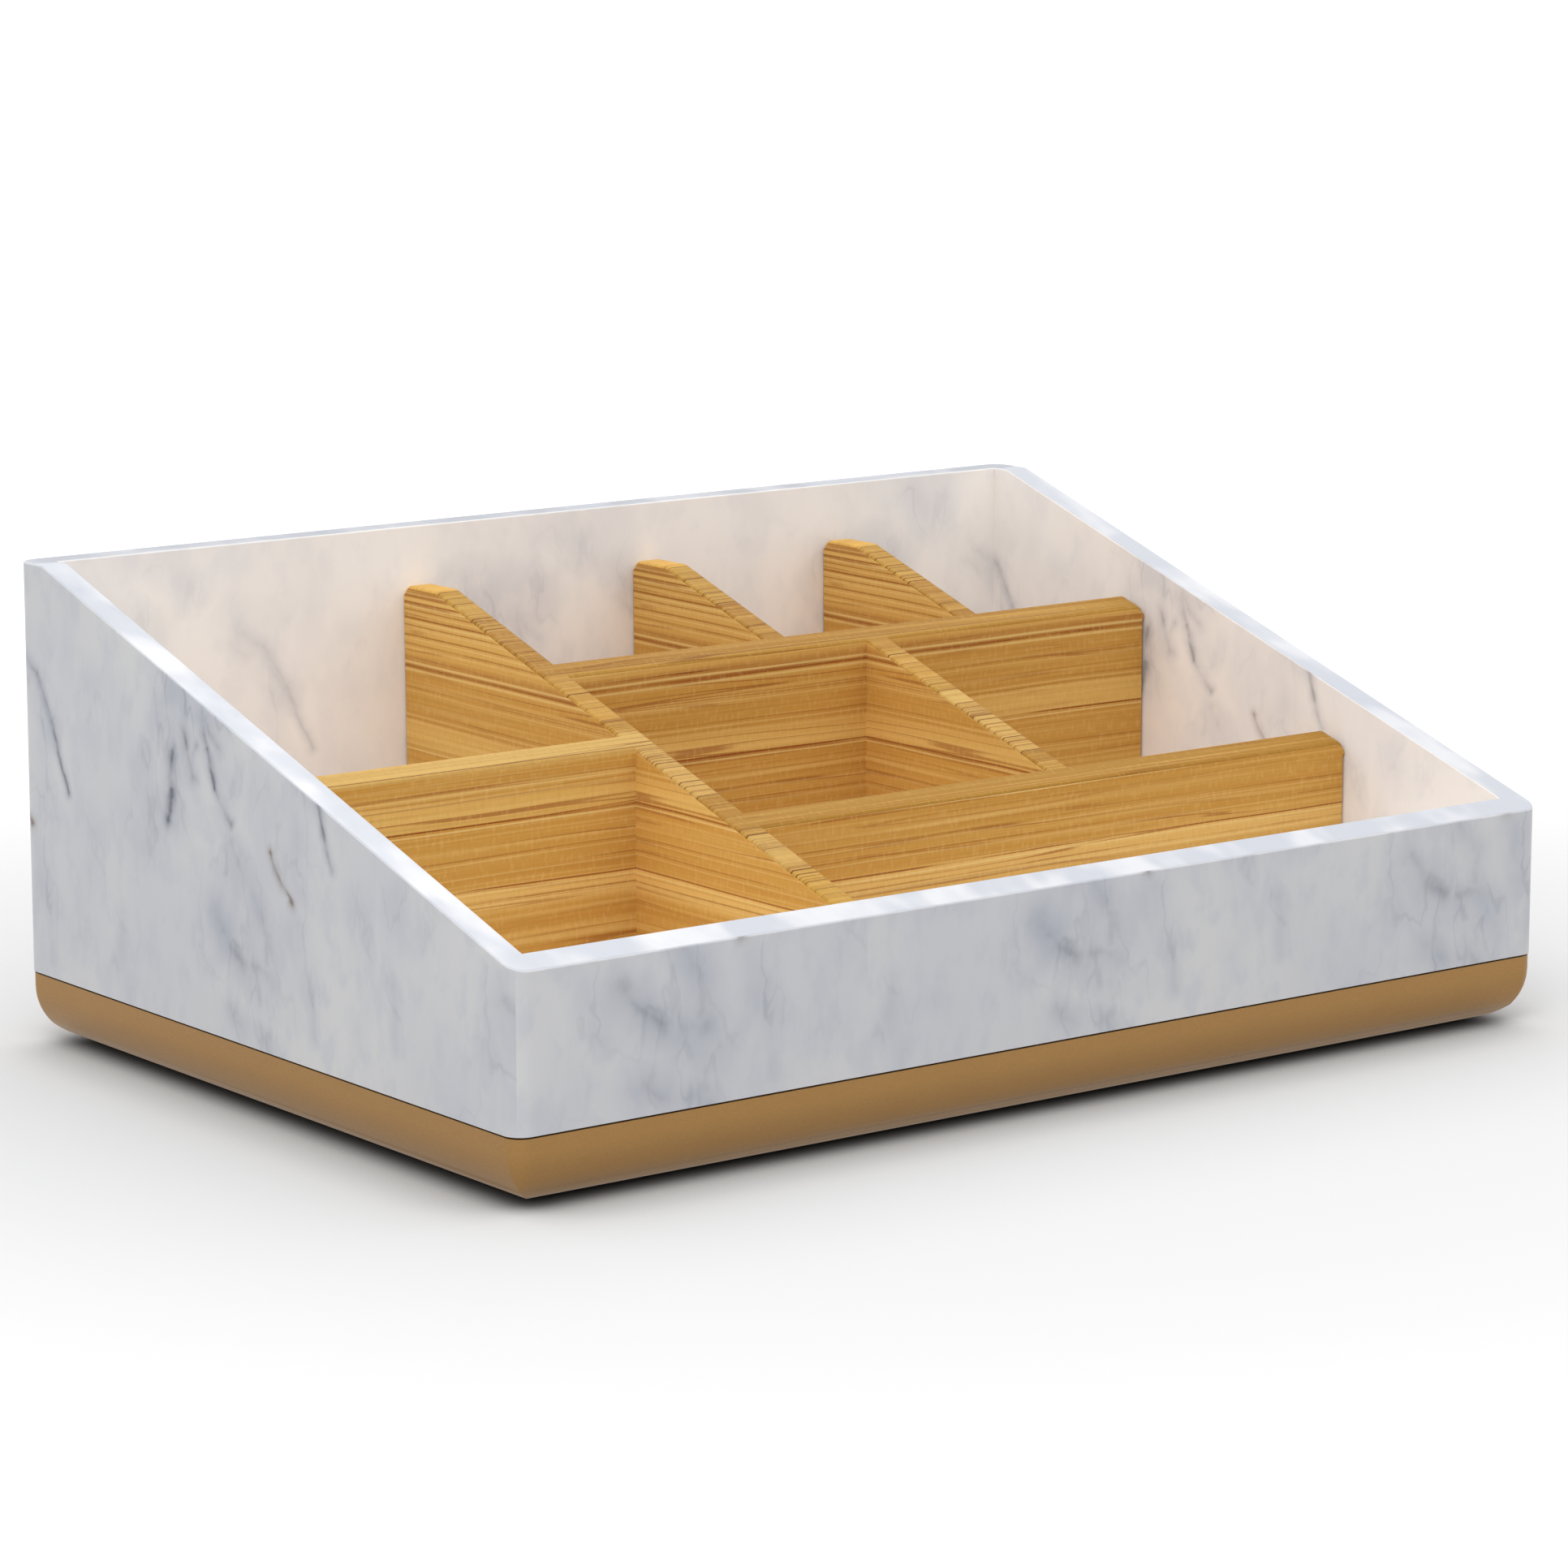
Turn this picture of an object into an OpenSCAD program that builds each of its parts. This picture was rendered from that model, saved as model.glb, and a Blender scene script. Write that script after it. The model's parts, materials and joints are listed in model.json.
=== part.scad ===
// Vanity organizer: a marble-look casing stands on a gold base, and a bamboo divider
// insert with eight bays lifts straight up out of it.
// X runs along the width, the low front faces -Y, and Z is up. The origin is on the
// table, under the middle of the casing.

/* [Casing] */
// Width of the casing, left to right
casing_width = 260; // [225:1:320]
// Depth of the casing, front to back
casing_depth = 178.6; // [165:0.1:230]
// Height of the back wall, above the casing's lower edge
casing_back_height = 85.5; // [75:0.5:110]
// Height of the front wall's outer face, above the casing's lower edge
casing_front_height = 31; // [26:0.5:45]
// Thickness of the casing's walls
casing_wall = 6; // [5:0.1:8]
// Depth of the level stretch of the side rims, at the back
level_rim_depth = 10.3; // [7:0.1:20]
// Radius of the casing's upright outer corners
corner_radius = 3.8; // [2:0.1:5.5]
// Thickness of the casing's floor
floor_thickness = 3.5; // [3:0.1:5]
// Height of the floor's underside, above the casing's lower edge
floor_recess = 3.5; // [2:0.1:5]

/* [Base] */
// Height of the base, from its underside to its rim
base_height = 14.15; // [12.5:0.05:20]
// Radius of the round along the base's lower edge
base_edge_radius = 11.4; // [6:0.1:12]
// Thickness of the base's shell
base_wall = 2.5; // [2:0.1:3.5]
// How far the base's sides stand back from the casing's sides
base_inset = 0.2; // [0:0.05:0.5]
// Height of the dark seam between the base's rim and the casing
seam_gap = 0.4; // [0.1:0.05:1]
// Thickness of the ribs inside the base
rib_thickness = 1.6; // [1:0.1:2.5]
// Height of the long ribs inside the base, above its floor
rib_height = 5.5; // [3:0.1:8]
// Space between the small ribs that stand along the base's walls
gusset_spacing = 38; // [25:1:60]
// How far those ribs reach in from the casing's sides
gusset_reach = 12; // [9:0.1:16]
// Gap between those ribs and the inside of the casing's walls
gusset_clearance = 0.3; // [0.1:0.05:1]

/* [Divider insert] */
// Thickness of the bamboo boards
board_thickness = 6; // [5:0.1:8]
// Gap between the insert and the casing's walls
insert_clearance = 0.3; // [0.2:0.05:1]
// Depth of the boards' sloping tops below the casing's sloping rims
insert_drop = 9.9; // [5:0.1:15]
// Depth of the boards' level tops below the casing's back rim
level_top_drop = 12.5; // [8:0.1:20]
// Radius of the boards' top corners next to the casing's walls
board_corner_radius = 2.4; // [1:0.1:4]
// Bamboo left between a lapped board's end and the long divider's far face
lap_skin = 1.2; // [0.8:0.1:2.5]

/* [Bays] */
// Width of the two left bays
left_bay_width = 84.2; // [60:0.1:100]
// Width of the rear bay next to the long divider
rear_inner_bay_width = 54.4; // [40:0.1:64]
// Width of the rear middle bay
rear_middle_bay_width = 47.1; // [35:0.1:60]
// Width of the middle bay next to the long divider
middle_bay_width = 78.1; // [65:0.1:95]
// Depth of the front bay
front_bay_depth = 46.9; // [35:0.1:60]
// Depth of the two middle bays
middle_bay_depth = 60.2; // [45:0.1:70]
// Depth of the left front bay
left_front_bay_depth = 81.7; // [60:0.1:100]

/* [Fasteners and feet] */
// Distance from the casing's sides to the outer screws, along the width
screw_inset_x = 44; // [38:1:60]
// Distance from the casing's front and back to the screws
screw_inset_y = 30; // [26:1:45]
// Diameter of the screws
screw_diameter = 3; // [2.5:0.1:4]
// Length of the screws under their heads
screw_length = 12; // [11:0.5:14]
// Diameter of the screws' heads
screw_head_diameter = 5.6; // [5:0.1:6.5]
// Height of the screws' heads
screw_head_height = 2.2; // [1.8:0.1:2.8]
// Outer diameter of the threaded inserts
thread_insert_diameter = 4.6; // [4.4:0.1:5.5]
// Length of the threaded inserts
thread_insert_length = 5; // [3:0.1:5.5]
// Diameter of the dowels
dowel_diameter = 3; // [2:0.1:3.5]
// Length of a dowel inside the cross divider
dowel_cross_depth = 4; // [2.5:0.1:4.5]
// Length of a dowel inside the short divider
dowel_short_depth = 8; // [5:0.1:12]
// Diameter of the rubber feet
foot_diameter = 14; // [8:0.5:16]
// Thickness of the rubber feet
foot_thickness = 2; // [1.5:0.1:3]
// How far the feet stand out below the base
foot_proud = 0.5; // [0.3:0.05:1]
// Distance from the casing's sides to the middle of each foot
foot_inset = 24; // [22:0.5:30]

/* [Hidden] */
$fn = 64;

// Overrun of every cut past the face that it opens
overrun = 1;

// Clearances around the screws, their heads, the threaded inserts and the dowels
fastener_clearance = 0.05;
screw_hole_clearance = 0.2;
head_clearance = 0.4;
// Depth of the recesses for the screws' heads, below the base's underside
head_recess_depth = 4;
// Walls of the screw posts in the base and of the bosses under the casing
post_wall = 3.3;
boss_wall = 2.4;
// Thread left above a screw's tip, and the blind drilling above that
thread_spare = 0.75;
drill_spare = 1.5;
// Cross slots in the screws' heads
cross_slot_width = 0.8;
cross_slot_depth = 1.2;
// Material around the foot pockets, the feet's play in them and the feet's chamfer
pad_margin = 1.5;
foot_clearance = 0.1;
foot_chamfer = 0.4;
// Smallest inner corner radius of the base
least_corner_radius = 0.5;
// Heights of the dowels in a joint, as shares of the board's height there
dowel_height_shares = [0.25, 0.75];

// Heights above the table
base_bottom_z = foot_proud;
base_floor_z = base_bottom_z + base_wall;
base_rim_z = base_bottom_z + base_height;
base_mid_floor_z = base_bottom_z + base_wall / 2;
casing_bottom_z = base_rim_z + seam_gap;
floor_bottom_z = casing_bottom_z + floor_recess;
floor_top_z = floor_bottom_z + floor_thickness;
casing_front_z = casing_bottom_z + casing_front_height;
casing_top_z = casing_bottom_z + casing_back_height;

// Slope of the side rims, which the boards' tops follow
slope_run = casing_depth - level_rim_depth;
rim_slope = (casing_top_z - casing_front_z) / slope_run;
slope_angle = atan(rim_slope);
rim_break_y = casing_depth / 2 - level_rim_depth;
level_top_z = casing_top_z - level_top_drop;

// Inside of the casing, and the space that the insert fills
cavity_width = casing_width - 2 * casing_wall;
cavity_depth = casing_depth - 2 * casing_wall;
insert_right_x = cavity_width / 2 - insert_clearance;
insert_rear_y = cavity_depth / 2 - insert_clearance;

// Left faces of the boards that run front to back, and front faces of those across
long_x = -cavity_width / 2 + left_bay_width;
rear_left_x = long_x + board_thickness + rear_inner_bay_width;
rear_right_x = rear_left_x + board_thickness + rear_middle_bay_width;
middle_x = long_x + board_thickness + middle_bay_width;
front_y = -cavity_depth / 2 + front_bay_depth;
rear_y = front_y + board_thickness + middle_bay_depth;
left_y = -cavity_depth / 2 + left_front_bay_depth;

// Butt joints held by dowels: the short divider's left face, the joint's face, and
// the side of that face on which the short divider lies
DOWEL_JOINTS = [
    [rear_left_x, rear_y + board_thickness, 1],
    [rear_right_x, rear_y + board_thickness, 1],
    [middle_x, rear_y, -1],
    [middle_x, front_y + board_thickness, 1]
];

// Places of the screws and the feet
screw_x = casing_width / 2 - screw_inset_x;
screw_y = casing_depth / 2 - screw_inset_y;
SCREW_PLACES = [for (x = [-screw_x, 0, screw_x], y = [-screw_y, screw_y]) [x, y]];
foot_x = casing_width / 2 - foot_inset;
foot_y = casing_depth / 2 - foot_inset;

// Middle of the base's wall, in from the casing's outer faces: its ribs end there
base_mid_wall = base_inset + base_wall / 2;

// Screws stand on the shoulders of their recesses and end inside the threaded inserts
screw_seat_z = base_bottom_z + head_recess_depth;
screw_tip_z = screw_seat_z + screw_length;
thread_top_z = screw_tip_z + thread_spare;
boss_bottom_z = thread_top_z - thread_insert_length;

// Height of the sloping rim plane, and of the boards' tops, at a place along the depth
function rim_z(y) = casing_front_z + rim_slope * (y + casing_depth / 2);
function board_top_z(y) = min(rim_z(y) - insert_drop, level_top_z);
level_top_y = -casing_depth / 2 + (level_top_z + insert_drop - casing_front_z) / rim_slope;

// Height at which a cross board laps over the long divider
function lap_z(y) = (floor_top_z + board_top_z(y + board_thickness / 2)) / 2;

// Rectangle without a small square at each corner
module notched_rectangle(width, depth, notch) {
    square([width - 2 * notch, depth], center = true);
    square([width, depth - 2 * notch], center = true);
}

// Its children at each corner of a rectangle, in from both sides by the inset
module at_corners(width, depth, inset) {
    for (x = [-1, 1], y = [-1, 1])
        translate([x * (width / 2 - inset), y * (depth / 2 - inset), 0])
            children();
}

module rounded_rectangle(width, depth, radius) {
    notched_rectangle(width, depth, radius);
    at_corners(width, depth, radius)
        circle(r = radius);
}

// Outline of a pan from one side: its two lower corners are round
module pan_outline(width, low_z, high_z, radius) {
    translate([-width / 2, low_z + radius])
        square([width, high_z - low_z - radius]);
    translate([-width / 2 + radius, low_z])
        square([width - 2 * radius, high_z - low_z]);
    for (side = [-1, 1])
        translate([side * (width / 2 - radius), low_z + radius])
            circle(r = radius);
}

// One half of a pan's upright corner from the side, out from the corner's axis
module pan_corner_outline(low_z, high_z, edge_radius, upright_radius) {
    width = 4 * edge_radius;
    intersection() {
        translate([upright_radius - width / 2, 0])
            pan_outline(width, low_z, high_z, edge_radius);
        translate([0, low_z])
            square([2 * upright_radius, high_z - low_z]);
    }
}

// Solid pan. The round along its lower edge runs on round the upright corners, which
// narrow as it goes in, and meets itself in a mitre below the point where they end
module pan(inset, low_z, high_z, edge_radius, upright_radius) {
    width = casing_width - 2 * inset;
    depth = casing_depth - 2 * inset;
    intersection() {
        rotate([90, 0, 0])
            linear_extrude(depth + 2 * overrun, center = true)
                pan_outline(width, low_z, high_z + overrun, edge_radius);
        rotate([90, 0, 90])
            linear_extrude(width + 2 * overrun, center = true)
                pan_outline(depth, low_z, high_z + overrun, edge_radius);
        translate([0, 0, low_z - overrun])
            linear_extrude(high_z - low_z + overrun)
                notched_rectangle(width, depth, upright_radius);
    }
    at_corners(width, depth, upright_radius)
        rotate_extrude()
            pan_corner_outline(low_z, high_z, edge_radius, upright_radius);
}

module at_screws() {
    for (place = SCREW_PLACES)
        translate([place[0], place[1], 0])
            children();
}

module at_feet() {
    for (x = [-foot_x, foot_x], y = [-foot_y, foot_y])
        translate([x, y, 0])
            children();
}

module tube_between(low_z, high_z, diameter) {
    translate([0, 0, low_z])
        cylinder(d = diameter, h = high_z - low_z);
}

// Everything above the sloping rims
module slope_waste() {
    front_y_end = -casing_depth / 2 - overrun;
    rotate([90, 0, 90])
        linear_extrude(casing_width + 2 * overrun, center = true)
            polygon([
                [front_y_end, rim_z(front_y_end)],
                [rim_break_y, casing_top_z],
                [rim_break_y, casing_top_z + overrun],
                [front_y_end, casing_top_z + overrun]
            ]);
}

module casing_cavities() {
    translate([-cavity_width / 2, -cavity_depth / 2, floor_top_z])
        cube([cavity_width, cavity_depth, casing_top_z - floor_top_z + overrun]);
    translate([-cavity_width / 2, -cavity_depth / 2, casing_bottom_z - overrun])
        cube([cavity_width, cavity_depth, floor_recess + overrun]);
}

module casing() {
    boss_diameter = thread_insert_diameter + 2 * boss_wall;
    color("whitesmoke")
        difference() {
            union() {
                difference() {
                    translate([0, 0, casing_bottom_z])
                        linear_extrude(casing_back_height)
                            rounded_rectangle(casing_width, casing_depth, corner_radius);
                    slope_waste();
                    casing_cavities();
                }
                at_screws()
                    tube_between(boss_bottom_z, floor_bottom_z + floor_thickness / 2, boss_diameter);
            }
            at_screws() {
                tube_between(boss_bottom_z - overrun, thread_top_z,
                    thread_insert_diameter + 2 * fastener_clearance);
                tube_between(boss_bottom_z, thread_top_z + drill_spare,
                    screw_diameter + 2 * fastener_clearance);
            }
        }
}

// Upright ribs along one wall of the base, at y = 0 on the casing's outer face: they
// locate the casing's wall from inside and carry its floor
module gusset_row(length) {
    count = max(2, round(length / gusset_spacing));
    inner = casing_wall + gusset_clearance;
    for (index = [0 : count - 1])
        translate([(index + 0.5) * length / count - length / 2 - rib_thickness / 2, 0, 0]) {
            translate([0, base_mid_wall, base_mid_floor_z])
                cube([rib_thickness, gusset_reach - base_mid_wall, base_rim_z - base_mid_floor_z]);
            translate([0, inner, base_mid_floor_z])
                cube([rib_thickness, gusset_reach - inner, floor_bottom_z - base_mid_floor_z]);
        }
}

module gussets() {
    for (turn = [0, 180]) {
        rotate([0, 0, turn])
            translate([0, -casing_depth / 2, 0])
                gusset_row(cavity_width - 2 * gusset_reach);
        rotate([0, 0, turn + 90])
            translate([0, -casing_width / 2, 0])
                gusset_row(cavity_depth - 2 * gusset_reach);
    }
}

// Long ribs that tie the screw posts to each other and to the walls
module long_ribs() {
    height = base_floor_z + rib_height - base_mid_floor_z;
    for (y = [-screw_y, screw_y])
        translate([-casing_width / 2 + base_mid_wall, y - rib_thickness / 2, base_mid_floor_z])
            cube([casing_width - 2 * base_mid_wall, rib_thickness, height]);
    for (x = [-screw_x, 0, screw_x])
        translate([x - rib_thickness / 2, -casing_depth / 2 + base_mid_wall, base_mid_floor_z])
            cube([rib_thickness, casing_depth - 2 * base_mid_wall, height]);
}

module base_shell() {
    outer_radius = corner_radius - base_inset;
    difference() {
        pan(base_inset, base_bottom_z, base_rim_z, base_edge_radius, outer_radius);
        pan(base_inset + base_wall, base_floor_z, base_rim_z + overrun,
            base_edge_radius - base_wall, max(outer_radius - base_wall, least_corner_radius));
    }
}

module base_stiffening() {
    intersection() {
        union() {
            long_ribs();
            gussets();
        }
        pan(base_mid_wall, base_mid_floor_z, floor_bottom_z,
            base_edge_radius - base_wall / 2, corner_radius - base_inset);
    }
}

module base() {
    post_diameter = screw_diameter + 2 * screw_hole_clearance + 2 * post_wall;
    pocket_diameter = foot_diameter + 2 * foot_clearance;
    color("darkgoldenrod")
        difference() {
            union() {
                base_shell();
                base_stiffening();
                at_screws()
                    tube_between(base_mid_floor_z, boss_bottom_z, post_diameter);
                at_feet()
                    tube_between(base_mid_floor_z, foot_thickness + base_wall,
                        pocket_diameter + 2 * pad_margin);
            }
            at_feet()
                tube_between(base_bottom_z - overrun, foot_thickness, pocket_diameter);
            at_screws() {
                tube_between(base_bottom_z - overrun, screw_seat_z,
                    screw_head_diameter + 2 * head_clearance);
                tube_between(base_bottom_z, boss_bottom_z + overrun,
                    screw_diameter + 2 * screw_hole_clearance);
            }
        }
}

module threaded_inserts() {
    color("goldenrod")
        at_screws()
            difference() {
                tube_between(boss_bottom_z, thread_top_z, thread_insert_diameter);
                tube_between(boss_bottom_z - overrun, thread_top_z + overrun,
                    screw_diameter + 2 * fastener_clearance);
            }
}

module base_screws() {
    head_z = screw_seat_z - screw_head_height;
    color("dimgray")
        at_screws()
            difference() {
                union() {
                    tube_between(head_z, screw_seat_z, screw_head_diameter);
                    tube_between(head_z, screw_tip_z, screw_diameter);
                }
                for (turn = [0, 90])
                    rotate([0, 0, turn])
                        translate([-screw_diameter / 2, -cross_slot_width / 2, head_z - overrun])
                            cube([screw_diameter, cross_slot_width, cross_slot_depth + overrun]);
            }
}

module foot(side_x, side_y) {
    radius = foot_diameter / 2;
    color("dimgray")
        translate([side_x * foot_x, side_y * foot_y, 0])
            rotate_extrude()
                polygon([
                    [0, 0],
                    [radius - foot_chamfer, 0],
                    [radius, foot_chamfer],
                    [radius, foot_thickness],
                    [0, foot_thickness]
                ]);
}

// Round off the top corner of a board that runs front to back, at its end next to a wall
module end_rounding(end_y, side) {
    radius = board_corner_radius;
    centre_y = end_y - side * radius;
    slope = centre_y > level_top_y ? 0 : slope_angle;
    centre_z = board_top_z(centre_y) - radius / cos(slope);
    tangent_y = centre_y - radius * sin(slope);
    waste_low_y = side > 0 ? tangent_y : end_y - overrun;
    waste_high_y = side > 0 ? end_y + overrun : tangent_y;
    difference() {
        translate([waste_low_y, centre_z])
            square([waste_high_y - waste_low_y, 2 * radius]);
        translate([centre_y, centre_z])
            circle(r = radius);
    }
}

// Board that runs front to back, with its left face at x
module lengthwise_board(x, low_y, high_y, rounded_front, rounded_rear) {
    break_points = high_y > level_top_y ? [[level_top_y, level_top_z]] : [];
    translate([x, 0, 0])
        rotate([90, 0, 90])
            linear_extrude(board_thickness)
                difference() {
                    polygon(concat(
                        [[low_y, floor_top_z], [high_y, floor_top_z], [high_y, board_top_z(high_y)]],
                        break_points,
                        [[low_y, board_top_z(low_y)]]
                    ));
                    if (rounded_front)
                        end_rounding(low_y, -1);
                    if (rounded_rear)
                        end_rounding(high_y, 1);
                }
}

// Waste at the top corner of a cross board's right end, running along its sloping top
module cross_end_rounding(end_x, y) {
    radius = board_corner_radius;
    length = board_thickness / cos(slope_angle) + 2 * overrun;
    translate([end_x, y, board_top_z(y)])
        rotate([slope_angle, 0, 0])
            translate([-radius, -overrun, -radius])
                difference() {
                    cube([radius + overrun, length, radius + overrun]);
                    rotate([-90, 0, 0])
                        translate([0, 0, -overrun])
                            cylinder(r = radius, h = length + 2 * overrun);
                }
}

// Board that runs across, with its front face at y and its outer end on the right.
// Its upper half laps over the long divider and its lower half butts against it.
module cross_board(low_x, high_x, butt_x, y) {
    difference() {
        translate([low_x, 0, 0])
            rotate([90, 0, 90])
                linear_extrude(high_x - low_x)
                    polygon([
                        [y, floor_top_z],
                        [y + board_thickness, floor_top_z],
                        [y + board_thickness, board_top_z(y + board_thickness)],
                        [y, board_top_z(y)]
                    ]);
        cross_end_rounding(high_x, y);
        translate([low_x - overrun, y - overrun, floor_top_z - overrun])
            cube([butt_x - low_x + overrun, board_thickness + 2 * overrun,
                lap_z(y) - floor_top_z + overrun]);
    }
}

// Notch in the long divider for a cross board that comes from the right
module lap_notch(face_x, y) {
    translate([face_x - board_thickness + lap_skin, y, lap_z(y)])
        cube([board_thickness - lap_skin + overrun, board_thickness, casing_top_z - lap_z(y)]);
}

// All dowels, or with a clearance the holes for them
module dowel_bars(clearance) {
    for (joint = DOWEL_JOINTS, share = dowel_height_shares) {
        height = floor_top_z + share * (board_top_z(joint[1]) - floor_top_z);
        back = joint[2] > 0 ? dowel_cross_depth : dowel_short_depth;
        translate([joint[0] + board_thickness / 2, joint[1] - back, height])
            rotate([-90, 0, 0])
                cylinder(d = dowel_diameter + 2 * clearance, h = dowel_cross_depth + dowel_short_depth);
    }
}

module bamboo(tone) {
    color(tone)
        difference() {
            children();
            dowel_bars(fastener_clearance);
        }
}

module long_divider() {
    right_x = long_x + board_thickness;
    color("burlywood")
        difference() {
            lengthwise_board(long_x, -insert_rear_y, insert_rear_y, true, true);
            lap_notch(right_x, rear_y);
            lap_notch(right_x, front_y);
            mirror([1, 0, 0])
                lap_notch(-long_x, left_y);
        }
}

module rear_cross_divider() {
    bamboo("tan")
        cross_board(long_x + lap_skin, insert_right_x, long_x + board_thickness, rear_y);
}

module front_cross_divider() {
    bamboo("tan")
        cross_board(long_x + lap_skin, insert_right_x, long_x + board_thickness, front_y);
}

module left_cross_divider() {
    bamboo("tan")
        mirror([1, 0, 0])
            cross_board(-(long_x + board_thickness - lap_skin), insert_right_x, -long_x, left_y);
}

module middle_divider() {
    bamboo("burlywood")
        lengthwise_board(middle_x, front_y + board_thickness, rear_y, false, false);
}

module rear_left_divider() {
    bamboo("burlywood")
        lengthwise_board(rear_left_x, rear_y + board_thickness, insert_rear_y, false, true);
}

module rear_right_divider() {
    bamboo("burlywood")
        lengthwise_board(rear_right_x, rear_y + board_thickness, insert_rear_y, false, true);
}

module dowels() {
    color("peru")
        dowel_bars(0);
}

casing();
base();
threaded_inserts();
base_screws();
foot(-1, -1);  // foot_front_left
foot(1, -1);  // foot_front_right
foot(-1, 1);  // foot_rear_left
foot(1, 1);  // foot_rear_right
long_divider();
rear_cross_divider();
front_cross_divider();
left_cross_divider();
middle_divider();
rear_left_divider();
rear_right_divider();
dowels();
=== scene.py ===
"""Looks of the vanity organizer: eased edges, marble, bamboo and gold, and a pale studio.

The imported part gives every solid. Lengths are in millimetres until a mesh or a lamp is made, and
are scaled by MM there. X runs along the width, the low front faces -Y, and Z is up.
"""

import json
import math
from typing import NamedTuple

import bmesh
import bpy
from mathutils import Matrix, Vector

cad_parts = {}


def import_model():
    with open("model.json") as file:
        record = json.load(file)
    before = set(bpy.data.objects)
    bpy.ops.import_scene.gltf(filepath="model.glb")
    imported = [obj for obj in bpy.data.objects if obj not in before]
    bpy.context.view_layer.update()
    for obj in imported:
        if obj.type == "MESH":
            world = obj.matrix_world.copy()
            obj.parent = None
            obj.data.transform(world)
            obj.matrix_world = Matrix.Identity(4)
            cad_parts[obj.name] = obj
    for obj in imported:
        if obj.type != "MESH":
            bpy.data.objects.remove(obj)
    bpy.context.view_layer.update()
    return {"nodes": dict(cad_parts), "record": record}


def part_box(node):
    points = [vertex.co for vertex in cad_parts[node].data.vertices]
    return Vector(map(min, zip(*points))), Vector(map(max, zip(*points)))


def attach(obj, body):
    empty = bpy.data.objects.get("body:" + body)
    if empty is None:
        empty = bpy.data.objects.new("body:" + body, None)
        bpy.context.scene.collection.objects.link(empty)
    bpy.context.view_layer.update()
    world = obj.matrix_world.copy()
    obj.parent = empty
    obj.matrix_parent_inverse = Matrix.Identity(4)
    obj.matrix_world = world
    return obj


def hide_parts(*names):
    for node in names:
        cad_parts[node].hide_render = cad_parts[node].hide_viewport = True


MM = 0.001

# Camera, as the photograph's straight edges give it
CAMERA_AZIMUTH = -37.289
CAMERA_ELEVATION = 10.674
CAMERA_DISTANCE = 1110.18
CAMERA_TARGET = (-0.78, 0.0, 52.63)
PHOTO_SIDE_PX = 1932
FOCAL_LENGTH_PX = 6595.145
SENSOR_WIDTH = 36.0

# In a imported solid, corners this close together are joined, and faces that meet at less than
# this angle in degrees become one
WELD_REACH = 0.001
FLAT_ANGLE = 0.3

# Rounds along the boards' upper edges, and the eased edges of the casing's rim
BOARD_ROUND = 0.8
ROUND_STEPS = 5
RIM_ROUND = 0.4
RIM_STEPS = 3

# Edges that turn by more degrees than this are shaded sharp
BOARD_SHARP_ANGLE = 32.0
CASING_SHARP_ANGLE = 40.0
BASE_SHARP_ANGLE = 30.0

# Boards that butt against a cross board, and boards that are joined to each other by laps
BUTTED_BOARDS = ("middle_divider", "rear_left_divider", "rear_right_divider")
LAPPED_BOARDS = ("long_divider", "rear_cross_divider", "front_cross_divider",
                 "left_cross_divider")

# The boards' end faces next to the casing's walls stand this far from the middle
WALL_END_X = 123.7
WALL_END_Y = 83.0

# Tolerances for a face at a wall end, for a place at a run's limit, and for a cut's plane
WALL_END_TOLERANCE = 0.01
PLACE_TOLERANCE = 0.001
CUT_TOLERANCE = 0.0001

# On a board, a face is a side or an end where more than this part of its normal lies across or
# along the board, and an underside where its normal rises less than this. A sum of normals
# that is shorter than SHORTEST_OUTWARD points nowhere.
SIDE_NORMAL = 0.9
END_NORMAL = 0.95
UNDERSIDE_NORMAL = -0.5
SHORTEST_OUTWARD = 0.1

# The middle of the walls' thickness, which parts their inner faces from their outer ones
WALL_MIDDLE_X = 127.0
WALL_MIDDLE_Y = 86.3

# The rim lies above this height. A wall's normal rises less than WALL_RISE, and the rim's own
# normal more than RIM_RISE, or more than LEVEL_RISE where the rim is level.
RIM_LOWEST = 40.0
WALL_RISE = 0.1
RIM_RISE = 0.9
LEVEL_RISE = 0.995

# A marble face looks along an axis where more than this part of its normal lies along it, and
# a bamboo face is a top where its normal rises more than this
FACING = 0.7
TOP_FACING = 0.3

# The marble pattern repeats like a tile. Heights are measured from the base's underside.
TILE_WIDTH = 99.5
TILE_START = -56.0
BACK_TILE_STEP = 26.0
FRONT_TILE_SHIFT = 7.0
BASE_UNDERSIDE = 0.5

# The sky's level at the horizon and high up. It stops growing at the height HIGH_SKY, where 0
# is the horizon and 1 is straight overhead.
LOW_SKY_LEVEL = 0.17
HIGH_SKY_LEVEL = 1.33
HIGH_SKY = 0.55

# The floor's colour for the light that it bounces, and near the object as the camera sees it.
# Between the two distances it turns white. Gloss and metal see FLOOR_PLAIN_SHARE of it as
# plain white, FLOOR_MIRRORED bright.
FLOOR_BOUNCE = 0.28
FLOOR_WHITE = 0.68
FLOOR_WHITE_REACH = (180.0, 600.0)
FLOOR_PLAIN_SHARE = 0.55
FLOOR_MIRRORED = 0.9
FLOOR_RADIUS = 9000.0
FLOOR_SIDES = 96

# The contact shade: how far the floor looks for the object, how dark it gets where it sees
# nothing else, and the open share from which it has no shade
CONTACT_REACH = 30.0
CONTACT_LEVEL = 0.25
CONTACT_OPEN_SHARE = 0.8
CONTACT_SAMPLES = 8

# The lamps stand this far from the object and look at its middle
LAMP_DISTANCE = 2200.0
LAMP_TARGET = (0.0, 0.0, 50.0)


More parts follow.
